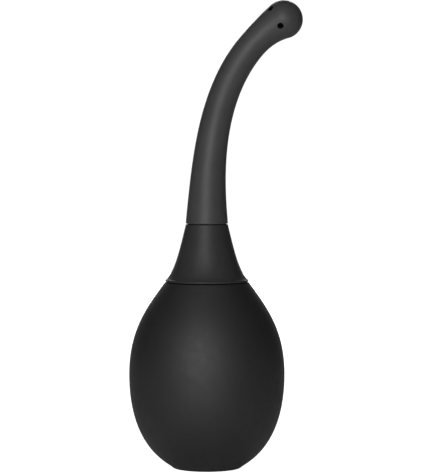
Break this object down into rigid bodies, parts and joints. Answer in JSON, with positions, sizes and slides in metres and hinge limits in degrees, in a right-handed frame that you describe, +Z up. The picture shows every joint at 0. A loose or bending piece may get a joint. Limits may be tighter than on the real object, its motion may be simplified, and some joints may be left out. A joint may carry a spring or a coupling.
{
  "type": "bulb irrigator",
  "caption": "Soft egg-shaped squeeze bulb with a screw-on trumpet collar and a curved, tapering nozzle that ends in a ball with spray holes.",
  "frame": {"origin": "centre of the flat base that the bulb stands on", "axes": "+Z up along the bulb, collar and thread axis; +X towards the side that the nozzle curls to; +Y completes a right-handed frame"},
  "size_m": [0.0915, 0.0822, 0.2467],
  "materials": {
    "bulb_silicone": "matte black silicone with a soft skin sheen",
    "nozzle_silicone": "satin matte black silicone",
    "collar_plastic": "matte black moulded plastic",
    "inner_plastic": "dark grey moulded plastic",
    "seal_rubber": "matte black seal rubber"
  },
  "bodies": {
    "bulb": {"bulb": "bulb_silicone"},
    "neck": {"neck_bush": "inner_plastic"},
    "collar_seal": {"collar_gasket": "seal_rubber"},
    "collar": {"collar": "collar_plastic"},
    "nozzle_seal": {"nozzle_o_ring": "seal_rubber"},
    "nozzle": {"nozzle": "nozzle_silicone", "nozzle_insert": "inner_plastic"}
  },
  "joints": [
    {"name": "bulb_squeeze", "type": "slide", "parent": "bulb", "child": "neck", "axis": [0, 0, -1], "range_m": [0, 0.022], "stiffness_N_per_m": 1200, "springref_m": -0.001, "deforming": ["bulb"]},
    {"name": "collar_lift", "type": "slide", "parent": "neck", "child": "collar_seal", "axis": [0, 0, 1], "range_m": [0, 0.0121]},
    {"name": "collar_turn", "type": "hinge", "parent": "collar_seal", "child": "collar", "pos_m": [0, 0, 0.0986], "axis": [0, 0, 1], "range_deg": [0, 1080]},
    {"name": "nozzle_lift", "type": "slide", "parent": "collar", "child": "nozzle_seal", "axis": [0, 0, 1], "range_m": [0, 0.0091]},
    {"name": "nozzle_turn", "type": "hinge", "parent": "nozzle_seal", "child": "nozzle", "pos_m": [0, 0, 0.1292], "axis": [0, 0, 1], "range_deg": [0, 1080]}
  ],
  "couplings": [
    {"joint": "collar_lift", "follows": "collar_turn", "m_per_rad": 0.00063662},
    {"joint": "nozzle_lift", "follows": "nozzle_turn", "m_per_rad": 0.00047746}
  ]
}
